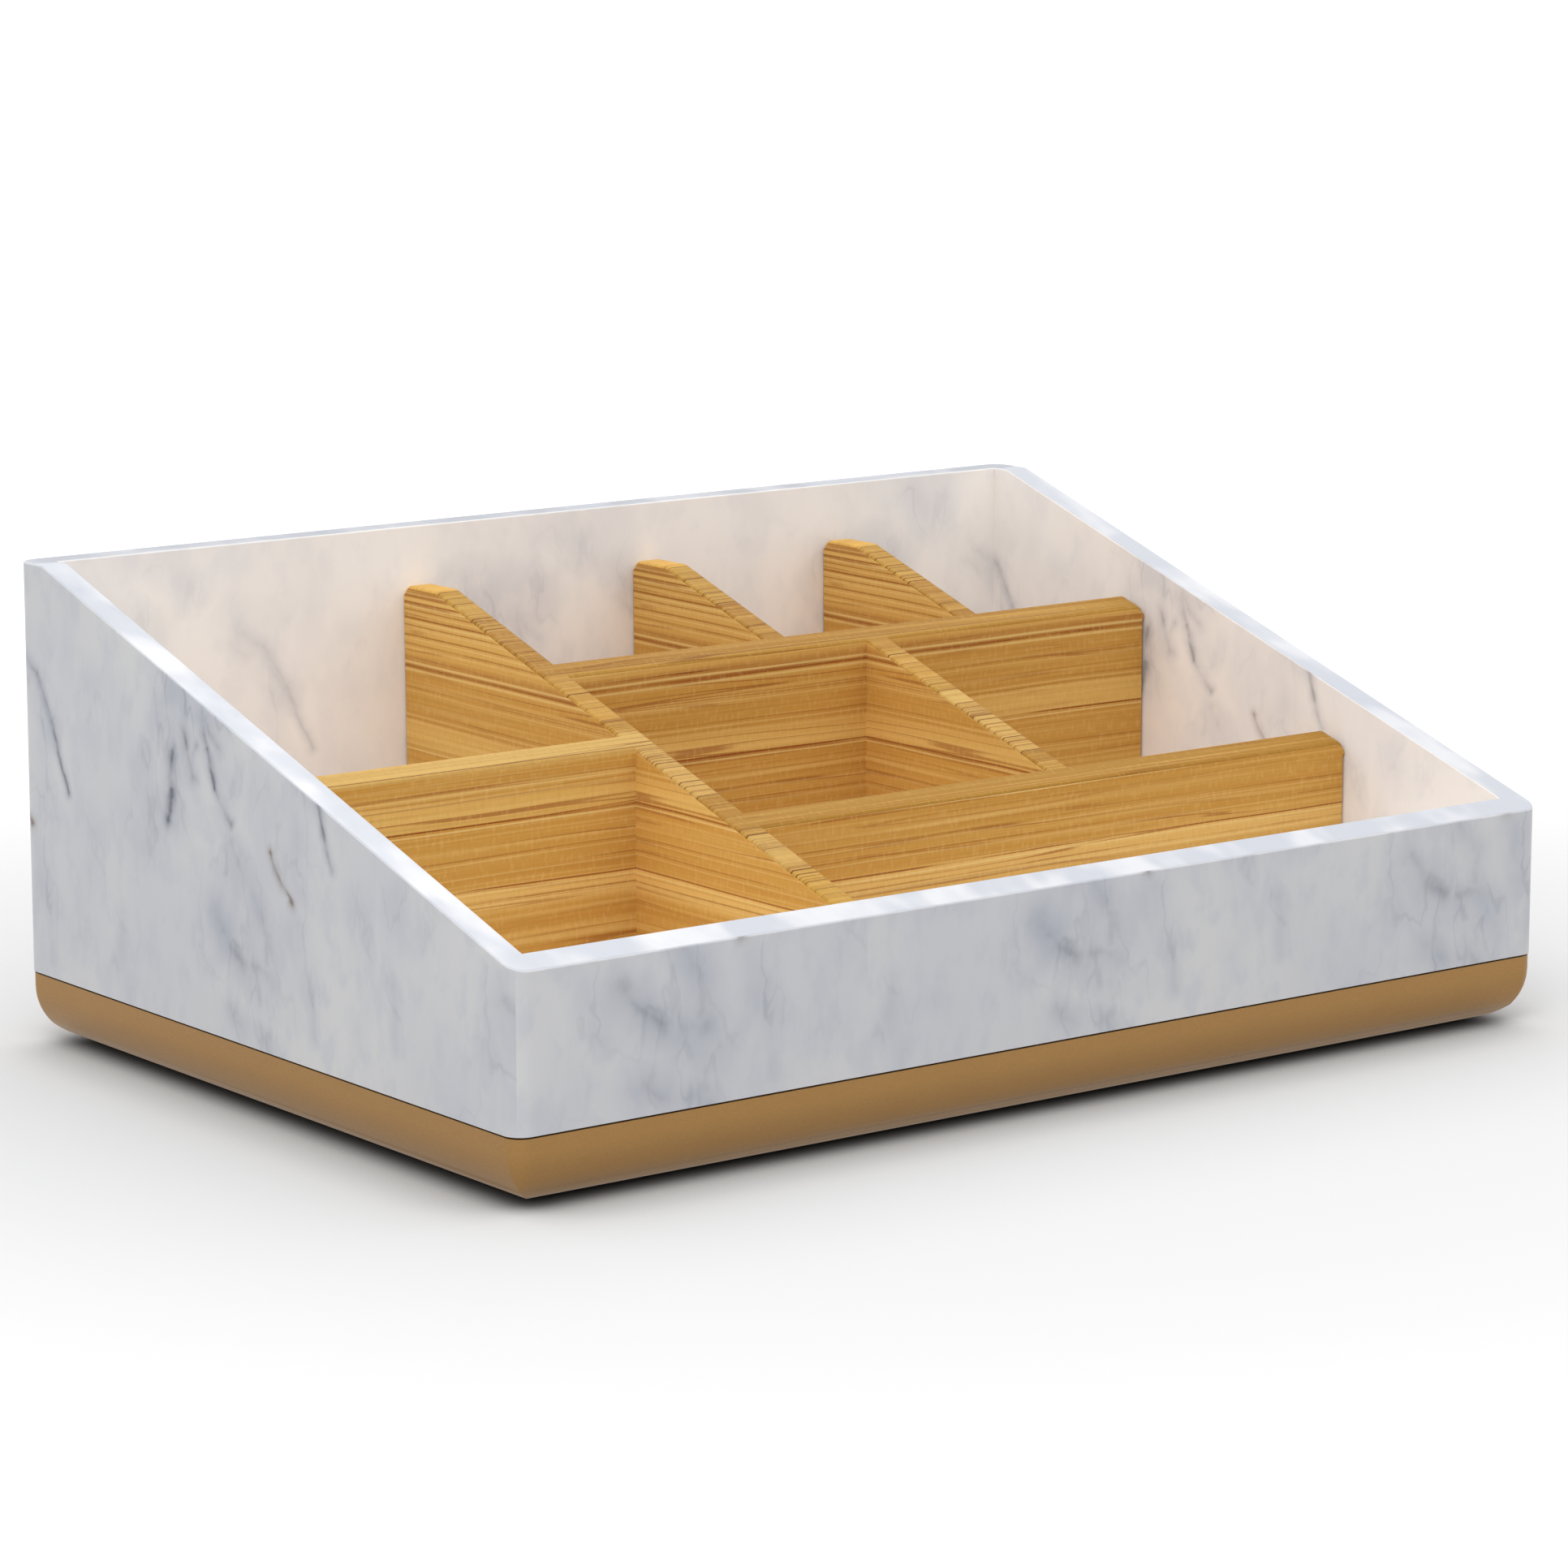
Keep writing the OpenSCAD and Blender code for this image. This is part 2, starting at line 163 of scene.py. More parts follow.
def srgb(red, green, blue):
    """A colour written as 0 to 255, in Blender's linear values."""
    def linear(level):
        share = level / 255
        return share / 12.92 if share <= 0.04045 else ((share + 0.055) / 1.055) ** 2.4
    return (linear(red), linear(green), linear(blue), 1.0)


class Tree:
    """Short ways to add nodes to a node tree."""

    # The Mix node's sockets for colours, which share their names with its other sockets
    COLOUR_INPUTS = (0, 6, 7)
    COLOUR_OUTPUT = 2

    def __init__(self, tree):
        self.tree = tree
        tree.nodes.clear()

    def add(self, kind, **settings):
        node = self.tree.nodes.new("ShaderNode" + kind)
        for name, value in settings.items():
            setattr(node, name, value)
        return node

    def feed(self, socket, value):
        """Links another node's output to the socket, or sets the socket to a plain value."""
        if isinstance(value, bpy.types.NodeSocket):
            self.tree.links.new(value, socket)
        else:
            socket.default_value = value

    def feed_all(self, sockets, values):
        for socket, value in zip(sockets, values):
            self.feed(socket, value)

    def math(self, operation, *values):
        node = self.add("Math", operation=operation)
        self.feed_all(node.inputs, values)
        return node.outputs[0]

    def times(self, product, *factors):
        """The product of all the numbers."""
        for factor in factors:
            product = self.math("MULTIPLY", product, factor)
        return product

    def within(self, value, limit):
        """1 where the value lies between -limit and limit."""
        return self.math("LESS_THAN", self.math("ABSOLUTE", value), limit)

    def beyond(self, value, limit):
        """1 where the value lies above limit or below -limit."""
        return self.math("GREATER_THAN", self.math("ABSOLUTE", value), limit)

    def clamp(self, value):
        node = self.add("Clamp")
        self.feed(node.inputs["Value"], value)
        return node.outputs[0]

    def vector_math(self, operation, *values, scale=None):
        node = self.add("VectorMath", operation=operation)
        self.feed_all(node.inputs, values)
        if scale is not None:
            self.feed(node.inputs["Scale"], scale)
        scalar = operation in ("DOT_PRODUCT", "DISTANCE", "LENGTH")
        return node.outputs["Value" if scalar else "Vector"]

    def vector(self, x, y, z=0.0):
        node = self.add("CombineXYZ")
        self.feed_all(node.inputs, (x, y, z))
        return node.outputs[0]

    def split(self, vector):
        node = self.add("SeparateXYZ")
        self.feed(node.inputs[0], vector)
        return node.outputs

    def step(self, value, low, high, start=0.0, end=1.0, kind="SMOOTHSTEP"):
        """A step from start to end as value goes from low to high."""
        node = self.add("MapRange", interpolation_type=kind)
        names = ("Value", "From Min", "From Max", "To Min", "To Max")
        self.feed_all([node.inputs[name] for name in names], (value, low, high, start, end))
        return node.outputs[0]

    def choose(self, factor, first, second):
        """A number that goes from first to second with factor."""
        node = self.add("Mix", data_type="FLOAT")
        sockets = [node.inputs[name] for name in ("Factor", "A", "B")]
        self.feed_all(sockets, (factor, first, second))
        return node.outputs["Result"]

    def blend(self, factor, first, second, kind="MIX"):
        """A colour that goes with factor from first to second, or to what kind makes of both."""
        node = self.add("Mix", data_type="RGBA", blend_type=kind)
        sockets = [node.inputs[place] for place in self.COLOUR_INPUTS]
        self.feed_all(sockets, (factor, first, second))
        return node.outputs[self.COLOUR_OUTPUT]

    def noise(self, vector, scale, detail=2.0, roughness=0.5, colour=False):
        node = self.add("TexNoise")
        self.feed(node.inputs["Vector"], vector)
        node.inputs["Scale"].default_value = scale
        node.inputs["Detail"].default_value = detail
        node.inputs["Roughness"].default_value = roughness
        return node.outputs["Color" if colour else "Fac"]

    def off_middle(self, noise):
        """How far the noise is from its middle, which is little along thin winding lines."""
        return self.math("ABSOLUTE", self.math("SUBTRACT", noise, 0.5))

    def ramp(self, value, stops):
        """A colour that follows the stops, which are pairs of place and colour."""
        node = self.add("ValToRGB")
        elements = node.color_ramp.elements
        while len(elements) > 1:
            elements.remove(elements[-1])
        elements[0].position, elements[0].color = stops[0]
        for place, colour in stops[1:]:
            elements.new(place).color = colour
        self.feed(node.inputs[0], value)
        return node.outputs["Color"]

    def bump(self, height, distance):
        node = self.add("Bump")
        node.inputs["Distance"].default_value = distance * MM
        self.feed(node.inputs["Height"], height)
        return node.outputs["Normal"]

    def principled(self, colour, roughness, normal, **constants):
        """The material's shader. Constants go on its own sockets."""
        shader = self.add("BsdfPrincipled")
        self.feed(shader.inputs["Base Color"], colour)
        self.feed(shader.inputs["Roughness"], roughness)
        self.feed(shader.inputs["Normal"], normal)
        for name, value in constants.items():
            shader.inputs[name].default_value = value
        output = self.add("OutputMaterial")
        self.feed(output.inputs["Surface"], shader.outputs["BSDF"])

    def place(self):
        """The point in the part's own frame in millimetres and the normal there, both split,
        and the point once more as a vector."""
        coordinates = self.add("TexCoord")
        point = self.vector_math("SCALE", coordinates.outputs["Object"], scale=1 / MM)
        return self.split(point), self.split(coordinates.outputs["Normal"]), point


def new_material(name):
    material = bpy.data.materials.new(name)
    material.use_nodes = True
    return material, Tree(material.node_tree)


def looks_along_x(tree, normal):
    """1 where a face looks more along X than along Y."""
    return tree.math("GREATER_THAN", tree.math("ABSOLUTE", normal[0]),
                     tree.math("ABSOLUTE", normal[1]))


# Marble

class Vein(NamedTuple):
    """A stroke in the marble tile, from start to end, each (place along the tile, height). It
    has its strength within its width of that line, and falls to 0 over its fade beyond."""
    start: tuple
    end: tuple
    width: float
    fade: float
    strength: float


GREY_VEINS = (
    Vein((12.5, 81.0), (16.9, 78.0), 0.1, 2.6, 0.75),
    Vein((16.9, 78.0), (23.0, 68.5), 0.1, 2.4, 0.85),
    Vein((23.0, 68.5), (29.1, 54.5), 0.1, 2.4, 0.95),
    Vein((-29.3, 69.0), (-29.6, 62.0), 0.2, 3.4, 1.00),
    Vein((-29.6, 62.0), (-31.0, 55.5), 0.3, 3.8, 1.05),
    Vein((-24.6, 73.5), (-21.4, 65.5), 0.1, 3.6, 0.92),
    Vein((-21.4, 69.5), (-19.6, 71.5), 0.1, 2.6, 0.80),
    Vein((-17.6, 78.0), (-15.9, 71.0), 0.1, 3.0, 0.80),
    Vein((-17.6, 77.5), (-11.5, 72.0), 0.1, 3.4, 0.78),
    Vein((-15.9, 71.0), (-13.0, 63.6), 0.1, 2.6, 1.00),
    Vein((-13.0, 63.6), (-7.5, 58.0), 0.1, 2.8, 0.85),
    Vein((-13.7, 39.5), (-9.3, 34.6), 0.2, 5.6, 0.75),
    Vein((-9.3, 34.6), (-3.9, 30.6), 0.2, 4.6, 0.76),
    Vein((0.2, 30.4), (5.8, 30.0), 0.2, 4.4, 0.64),
    Vein((-7.0, 54.0), (-0.4, 45.7), 0.1, 5.6, 0.58),
    Vein((-0.4, 45.7), (5.2, 38.0), 0.1, 5.2, 0.64),
    Vein((5.2, 38.0), (5.0, 32.5), 0.2, 5.6, 0.62),
    Vein((3.0, 17.5), (6.4, 14.0), 0.1, 4.0, 0.60),
    Vein((-8.5, 21.0), (-4.5, 17.2), 0.1, 4.6, 0.58),
)
BROWN_VEINS = (
    Vein((6.9, 54.3), (9.3, 50.0), 0.1, 2.2, 1.00),
    Vein((9.3, 50.0), (14.2, 46.2), 0.1, 2.2, 0.98),
    Vein((13.7, 46.0), (14.3, 45.8), 0.2, 2.6, 0.98),
    Vein((9.6, 79.0), (13.5, 76.0), 0.1, 2.2, 0.62),
)
CLOUDS = (
    Vein((-29.0, 82.0), (-14.0, 79.5), 2.0, 10.0, 0.62),
    Vein((-31.0, 74.0), (-26.0, 66.0), 1.0, 8.0, 0.50),
    Vein((-27.0, 62.0), (-26.0, 56.0), 0.5, 6.0, 0.45),
    Vein((-13.0, 73.0), (-7.0, 66.0), 0.5, 6.0, 0.42),
    Vein((-38.0, 62.0), (-37.0, 56.0), 2.0, 8.0, 0.34),
    Vein((11.0, 84.0), (21.5, 68.0), 1.0, 6.5, 0.34),
    Vein((15.5, 62.0), (19.5, 50.0), 1.0, 8.0, 0.26),
    Vein((19.0, 38.0), (20.9, 20.0), 0.2, 3.4, 0.42),
    Vein((16.5, 42.0), (19.5, 30.0), 1.0, 6.0, 0.36),
    Vein((-50.0, 34.0), (-50.0, 24.0), 0.5, 3.4, 0.34),
    Vein((37.5, 50.0), (39.5, 40.0), 1.5, 5.5, 0.20),
    Vein((-48.0, 52.0), (-38.0, 50.0), 2.0, 6.0, 0.24),
    Vein((-6.0, 96.0), (-1.0, 90.0), 1.0, 6.0, 0.42),
    Vein((-14.0, 36.0), (6.0, 27.0), 2.0, 11.0, 0.34),
    Vein((-8.0, 50.0), (0.0, 42.0), 1.0, 8.0, 0.24),
    Vein((-8.0, 19.0), (5.0, 16.0), 1.0, 8.0, 0.36),
    Vein((4.0, 66.0), (9.0, 54.0), 1.0, 7.0, 0.26),
)

# Shifts that take the mist and the mottle from other parts of the noise than the clouds
MIST_SHIFT = (310.0, 90.0, 0.0)
MOTTLE_SHIFT = (40.0, 210.0, 0.0)
# How fast a vein's dark core fades from its line
CORE_POWER = 3.6


def wall_point(tree, place, normal):
    """The place along the wall and the height, as one vector: the pattern runs round the walls.
    On level faces it is X and Y."""
    x, y, z = place
    height = tree.math("SUBTRACT", z, BASE_UNDERSIDE)
    side_wall = looks_along_x(tree, normal)
    level = tree.beyond(normal[2], FACING)
    along = tree.choose(side_wall, tree.math("SUBTRACT", x, FRONT_TILE_SHIFT),
                        tree.math("MULTIPLY", y, -1.0))

    # Each repeat on the back wall sits at another height
    repeat = tree.math("FLOOR", tree.math("MULTIPLY_ADD", along, 1.0 / TILE_WIDTH,
                                          -TILE_START / TILE_WIDTH))
    at_back = tree.math("GREATER_THAN", normal[1], FACING)
    height = tree.math("ADD", height, tree.times(repeat, at_back, BACK_TILE_STEP))
    return tree.vector(tree.choose(level, along, x), tree.choose(level, height, y))


def stroke(tree, point, vein):
    """The vein's strength on its line, falling evenly to 0 where it has faded."""
    start = Vector((*vein.start, 0.0))
    line = Vector((*vein.end, 0.0)) - start
    offset = tree.vector_math("SUBTRACT", point, start)
    share = tree.vector_math("DOT_PRODUCT", offset, line / line.length_squared)
    nearest = tree.vector_math("SCALE", line, scale=tree.clamp(share))
    distance = tree.vector_math("DISTANCE", offset, nearest)
    return tree.step(distance, vein.width, vein.width + vein.fade, vein.strength, 0.0,
                     kind="LINEAR")


def strokes(tree, point, veins):
    """The strongest of several veins at the point."""
    strongest = 0.0
    for vein in veins:
        strongest = tree.math("MAXIMUM", strongest, stroke(tree, point, vein))
    return strongest


def tile_point(tree, point, scale, reach):
    """The place in the tile, pushed about by noise so that the veins wander."""
    push = tree.noise(point, scale, detail=3.0, colour=True)
    push = tree.vector_math("SUBTRACT", push, (0.5, 0.5, 0.5))
    push = tree.vector_math("SCALE", push, scale=reach)
    along, height, _ = tree.split(tree.vector_math("ADD", point, push))
    wrapped = tree.math("WRAP", along, TILE_START + TILE_WIDTH, TILE_START)
    return tree.vector(wrapped, height)


def marble_material():
    material, tree = new_material("marble")
    place, normal, point = tree.place()
    flat = wall_point(tree, place, normal)
    upright = tree.within(normal[2], FACING)
    inside = tree.times(tree.within(place[0], WALL_MIDDLE_X),
                        tree.within(place[1], WALL_MIDDLE_Y), upright)

    # Broad soft clouds, finer mist and a mottle in the white stone, fainter on the inner walls
    streaks = tree.vector_math("MULTIPLY", flat, (1.0, 0.6, 1.0))
    faint = tree.choose(inside, 1.0, 0.6)
    clouds = tree.noise(streaks, 0.024, detail=2.0)
    clouds = tree.times(tree.step(clouds, 0.36, 0.66, 0.0, 0.70), faint)
    mist = tree.noise(tree.vector_math("ADD", streaks, MIST_SHIFT), 0.055, detail=3.0)
    mist = tree.times(tree.step(mist, 0.46, 0.72, 0.0, 0.50), faint)
    mottle = tree.noise(tree.vector_math("ADD", streaks, MOTTLE_SHIFT), 0.17, detail=4.0)
    mottle = tree.times(tree.step(mottle, 0.46, 0.66, 0.0, 0.45), tree.choose(inside, 1.0, 0.45))
    # Painted light: the inner walls start from a paler, warmer tone than the outer faces, for
    # light bounced inside the tray
    stone = tree.blend(inside, srgb(233, 233, 234), srgb(255, 251, 247))
    stone = tree.blend(clouds, stone, srgb(221, 222, 228))
    stone = tree.blend(mist, stone, srgb(209, 213, 223))
    stone = tree.blend(mottle, stone, srgb(211, 214, 222))

    # Grey shade at its own places in the tile
    loose = tile_point(tree, flat, 0.06, 8.0)
    uneven = tree.step(tree.noise(streaks, 0.11, detail=3.0), 0.30, 0.65, 0.45, 1.15)
    shade = tree.times(strokes(tree, loose, CLOUDS), uneven, tree.choose(inside, 1.0, 0.92))
    stone = tree.blend(shade, stone, srgb(189, 195, 208))

    # The sawn rim is greyer in places, and along its level back part most of all, where the grey
    # is painted shade
    sawn = tree.times(tree.math("SUBTRACT", 1.0, upright),
                      tree.math("GREATER_THAN", place[2], RIM_LOWEST))
    patches = tree.step(tree.noise(streaks, 0.07, detail=2.0), 0.39, 0.59, 0.18, 0.92)
    stone = tree.blend(tree.times(patches, sawn), stone, srgb(194, 198, 207))
    # Painted shade: the rim's level faces are greyed, for the dimmer light on them
    level = tree.times(sawn, tree.math("GREATER_THAN", normal[2], LEVEL_RISE),
                       tree.math("MULTIPLY_ADD", patches, 0.4, 0.5))
    stone = tree.blend(level, stone, srgb(160, 164, 174))

    # Each vein is a thin dark line in a wider pale halo. Veins are fainter on the back wall's
    # inner face, and nearly gone on the sawn edges.
    wavy = tile_point(tree, flat, 0.13, 3.4)
    uneven = tree.step(tree.noise(flat, 0.12, detail=3.0), 0.36, 0.60, 0.69, 1.01)
    inner_back = tree.times(inside, tree.beyond(normal[1], FACING))
    shown = tree.times(tree.choose(sawn, 1.0, 0.30), tree.choose(inner_back, 1.0, 0.76), uneven)
    for veins, halo_share, halo, core in (
            (GREY_VEINS, 0.47, (180, 185, 200), (114, 116, 128)),
            (BROWN_VEINS, 0.40, (188, 182, 184), (118, 92, 74))):
        vein = tree.times(strokes(tree, wavy, veins), shown)
        stone = tree.blend(tree.times(vein, halo_share), stone, srgb(*halo))
        stone = tree.blend(tree.clamp(tree.math("POWER", vein, CORE_POWER)), stone, srgb(*core))

    # Hair-thin veins run through the clouded parts
    hair = tree.noise(tree.vector_math("MULTIPLY", wavy, (1.0, 0.45, 1.0)), 0.085, detail=3.0)
    hair = tree.step(tree.off_middle(hair), 0.0, 0.026, 0.50, 0.0)
    clouded = tree.clamp(tree.math("ADD", shade, tree.times(mist, 0.4)))
    stone = tree.blend(tree.times(hair, clouded, shown), stone, srgb(128, 132, 146))

    # Painted light and shade: the inner walls are painted paler and warmer, for light bounced
    # inside the tray, and all other faces a little darker, which offsets the raised light
    stone = tree.blend(tree.times(inside, 0.3), stone, srgb(255, 250, 244))
    outer = tree.math("SUBTRACT", 1.0, inside)
    stone = tree.blend(outer, stone, srgb(244, 244, 244), kind="MULTIPLY")

    grit = tree.noise(point, 0.25, detail=2.0)
    roughness = tree.step(grit, 0.3, 0.7, 0.28, 0.33)
    tree.principled(stone, roughness, tree.bump(grit, 0.002), IOR=1.42)
    return material


# Bamboo

# Broad bands on the boards' sides, as height above the base's underside and colour there
SIDE_BANDS = (
    (10.0, (206, 148, 68)), (34.0, (213, 160, 79)), (35.6, (235, 190, 111)),
    (39.2, (237, 190, 110)), (40.2, (213, 160, 79)), (52.8, (215, 162, 80)),
    (53.6, (233, 188, 106)), (58.2, (233, 186, 104)), (59.0, (213, 160, 78)),
    (69.8, (213, 160, 79)), (70.3, (199, 143, 71)), (72.6, (209, 156, 81)),
    (73.2, (231, 182, 99)), (88.0, (229, 182, 99)),
)
# Broad bands on their tops, as distance from the middle towards the back and colour there. The
# light band from 70.9 to the back, where the tops are level, is a painted highlight.
TOP_BANDS_AND_HIGHLIGHT = (
    (-66.0, (190, 148, 68)), (-53.6, (190, 148, 68)), (-53.2, (194, 156, 87)),
    (-39.0, (194, 155, 86)), (-38.6, (171, 127, 55)), (-22.7, (171, 127, 55)),
    (-22.3, (197, 157, 87)), (-0.8, (198, 158, 88)), (-0.4, (205, 168, 96)),
    (4.6, (205, 168, 96)), (5.4, (179, 136, 60)), (10.0, (181, 139, 64)),
    (10.6, (197, 152, 73)), (31.0, (176, 132, 60)), (31.5, (167, 122, 54)),
    (52.2, (169, 124, 57)), (52.6, (183, 141, 68)), (70.0, (188, 147, 71)),
    (70.9, (228, 181, 96)), (83.0, (232, 185, 100)),
# A painted highlight on the level rear part of the tops
)


class Line(NamedTuple):
    """A thin dark line in the bamboo: its height or place, its strength and half its width."""
    at: float
    strength: float
    half_width: float = 0.25


SIDE_LINES = (
    Line(36.9, 0.5), Line(39.5, 0.8), Line(43.0, 0.4), Line(46.0, 0.4), Line(53.1, 0.9),
    Line(58.9, 0.3), Line(60.4, 0.4), Line(65.5, 0.4), Line(70.2, 0.8, 0.36),
    Line(71.8, 0.9, 0.36), Line(74.8, 0.5, 0.24), Line(76.8, 0.7), Line(78.9, 0.6, 0.24),
    Line(80.6, 0.8, 0.32), Line(82.4, 0.6, 0.24), Line(84.0, 0.8, 0.30), Line(85.4, 0.5, 0.22),
    Line(86.8, 0.6, 0.24),
)
TOP_LINES = (
    Line(-63.2, 0.4), Line(-61.0, 0.5), Line(-58.0, 0.6), Line(-55.0, 0.9), Line(-53.4, 1.0),
    Line(-44.5, 0.6), Line(-42.6, 0.4), Line(-38.9, 1.0), Line(-36.5, 0.6), Line(-26.4, 0.4),
    Line(-22.5, 0.9), Line(-20.1, 0.5), Line(-18.2, 0.7), Line(-16.4, 0.9), Line(-13.6, 0.6),
    Line(-10.3, 0.6), Line(-8.2, 0.8), Line(-6.3, 0.5), Line(-4.4, 0.5), Line(-2.6, 0.6),
    Line(-0.7, 0.7), Line(5.4, 0.6), Line(8.4, 0.5), Line(10.2, 0.5), Line(16.1, 0.4),
    Line(18.0, 0.4), Line(22.4, 1.0), Line(31.2, 0.5), Line(37.4, 0.4), Line(41.5, 0.8),
    Line(52.4, 1.0), Line(54.0, 0.6), Line(55.2, 0.6), Line(57.4, 0.9), Line(59.3, 0.5),
    Line(64.3, 0.8), Line(67.0, 0.5), Line(69.9, 0.6),
)

# The bands' places run from minus to plus this
BAND_REACH = 90.0
# How far the bands on the sides wander up and down in all
BAND_DRIFT = 2.4
# The share of a line's half width that has its full strength
LINE_CORE = 0.35
# How far under each strong line its pale fibre lies
PALE_FIBRE_DROP = 0.8
# The tops take their grain from another layer of the noise than the sides
TOP_GRAIN_LAYER = 57.0


def bands(tree, value, stops):
    """The broad bands' colour at the value."""
    share = tree.math("MULTIPLY_ADD", value, 0.5 / BAND_REACH, 0.5)
    return tree.ramp(share, [(0.5 + 0.5 * at / BAND_REACH, srgb(*tone)) for at, tone in stops])


def thin_lines(tree, value, lines):
    """Each line's strength on it, and 0 between the lines."""
    strongest = 0.0
    for line in lines:
        away = tree.math("ABSOLUTE", tree.math("SUBTRACT", value, line.at))
        shown = tree.step(away, LINE_CORE * line.half_width, line.half_width, line.strength, 0.0)
        strongest = tree.math("MAXIMUM", strongest, shown)
    return strongest


def bamboo_material():
    material, tree = new_material("bamboo")
    place, normal, _ = tree.place()
    x, y, z = place
    height = tree.math("SUBTRACT", z, BASE_UNDERSIDE)
    on_top = tree.math("GREATER_THAN", normal[2], TOP_FACING)
    turned = looks_along_x(tree, normal)
    along = tree.choose(on_top, tree.choose(turned, x, y), x)
    across = tree.choose(on_top, height, y)
    layer = tree.times(on_top, TOP_GRAIN_LAYER)

    def grain(along_scale, across_scale, value=across, detail=2.0):
        """Noise that is drawn out along the board, with its scales per millimetre."""
        drawn_out = tree.vector(tree.times(along, along_scale), tree.times(value, across_scale),
                                layer)
        return tree.noise(drawn_out, 1.0, detail=detail)

    def tint(tone, factor, on_side, on_tops):
        """The tone with one colour blended in on the sides and another on the tops."""
        return tree.blend(factor, tone, tree.blend(on_top, srgb(*on_side), srgb(*on_tops)))

    # Broad bands, with darker and lighter stretches in them
    drift = tree.math("MULTIPLY_ADD", grain(0.008, 0.05), BAND_DRIFT, -BAND_DRIFT / 2)
    level = tree.choose(on_top, tree.math("ADD", across, drift), across)
    tone = tree.blend(on_top, bands(tree, level, SIDE_BANDS), bands(tree, level, TOP_BANDS_AND_HIGHLIGHT))
    broad = grain(0.005, 0.30, level)
    tone = tint(tone, tree.step(broad, 0.50, 0.70, 0.0, 0.28), (208, 148, 68), (172, 122, 50))
    tone = tint(tone, tree.step(broad, 0.48, 0.30, 0.0, 0.35), (250, 208, 126), (216, 174, 96))

    # Fine fibres: pale and dark ones all over, and a few that show as lines
    fibres = grain(0.008, 1.3, level, detail=3.0)
    tone = tint(tone, tree.step(fibres, 0.47, 0.36, 0.0, 0.27), (242, 206, 130), (226, 186, 108))
    tone = tint(tone, tree.step(fibres, 0.53, 0.66, 0.0, 0.21), (182, 128, 60), (160, 108, 44))
    ridge = tree.off_middle(grain(0.007, 0.42, level, detail=1.0))
    grouped = tree.step(grain(0.006, 0.07, level), 0.44, 0.56, 0.15, 1.0)
    single = tree.times(tree.step(ridge, 0.008, 0.028, 0.66, 0.0), grouped)
    tone = tint(tone, single, (160, 90, 42), (134, 84, 36))

    # The lines that show most, on the sides each with a pale fibre under it
    pale = thin_lines(tree, tree.math("ADD", level, PALE_FIBRE_DROP), SIDE_LINES)
    pale = tree.times(pale, tree.choose(on_top, 0.75, 0.0))
    tone = tree.blend(pale, tone, srgb(248, 216, 144))
    strong = tree.choose(on_top, thin_lines(tree, level, SIDE_LINES),
                         thin_lines(tree, level, TOP_LINES))
    fading = tree.step(grain(0.020, 0.80, level), 0.40, 0.54, 0.20, 1.10)
    fading = tree.choose(on_top, fading, 1.0)
    tone = tint(tone, tree.times(strong, fading), (150, 81, 36), (112, 68, 32))

    # Painted light and shade: the sides of boards from front to back, which face along X, are
    # painted a little lighter, and those of boards across a little darker, for how the light falls
    # on them
    painted_side_shading = tree.choose(on_top, 0.10, 0.0)
    darker = tree.times(tree.math("SUBTRACT", 1.0, turned), painted_side_shading)
    tone = tree.blend(tree.times(turned, painted_side_shading), tone, srgb(255, 200, 110))
    tone = tree.blend(darker, tone, srgb(120, 78, 30))

    # Painted shade: the whole tone is darkened a little, which offsets the raised light that
    # brightens the inner walls
    tone = tree.blend(1.0, tone, srgb(245, 244, 243), kind="MULTIPLY")

    # Cross fibres give a faint weave
    weave = grain(1.2, 0.45, detail=3.0)
    tone = tint(tone, tree.step(weave, 0.50, 0.72, 0.0, 0.16), (240, 203, 134), (213, 176, 105))
    tone = tint(tone, tree.step(weave, 0.48, 0.30, 0.0, 0.14), (188, 132, 59), (159, 113, 50))

    fine = grain(0.30, 4.5, detail=3.0)
    roughness = tree.step(fine, 0.3, 0.7, 0.36, 0.48)
    tree.principled(tone, roughness, tree.bump(fine, 0.02), IOR=1.13)
    return material


# Gold, metals, rubber and the dowels' wood

def speckled_material(name, colour, dark, roughness, metallic, grain, bump_depth,
                      stretch=(1.0, 1.0, 1.0)):
    """A finish with a fine grain: colour with darker specks, and a slightly uneven gloss."""
    material, tree = new_material(name)
    point = tree.vector_math("MULTIPLY", tree.place()[2], stretch)
    speck = tree.noise(point, grain, detail=4.0, roughness=0.6)
    cloud = tree.noise(point, grain * 0.04, detail=2.0)
    tone = tree.blend(tree.step(speck, 0.35, 0.75), srgb(*colour), srgb(*dark))
    tone = tree.blend(tree.step(cloud, 0.4, 0.7, 0.0, 0.25), tone, srgb(*dark))
    uneven = tree.step(speck, 0.3, 0.7, roughness - 0.04, roughness + 0.05)
    tree.principled(tone, uneven, tree.bump(speck, bump_depth), Metallic=metallic)
    return material


def make_materials():
    """One material for each of the record's slots."""
    return {
        "marble": marble_material(),
        "bamboo": bamboo_material(),
        "gold": speckled_material("gold", (171, 130, 76), (164, 124, 71), roughness=0.42,
                                  metallic=0.6, grain=3.0, bump_depth=0.01),
        "brass": speckled_material("brass", (214, 178, 96), (180, 140, 70), roughness=0.28,
                                   metallic=1.0, grain=1.5, bump_depth=0.02),
        "steel": speckled_material("steel", (176, 178, 182), (140, 142, 148), roughness=0.32,
                                   metallic=1.0, grain=2.0, bump_depth=0.02),
        "rubber": speckled_material("rubber", (44, 44, 46), (30, 30, 32), roughness=0.72,
                                    metallic=0.0, grain=4.0, bump_depth=0.05),
        "dowel_wood": speckled_material("dowel_wood", (226, 196, 146), (196, 158, 104),
                                        roughness=0.6, metallic=0.0, grain=1.0, bump_depth=0.04,
                                        stretch=(1.0, 0.12, 1.0)),
    }


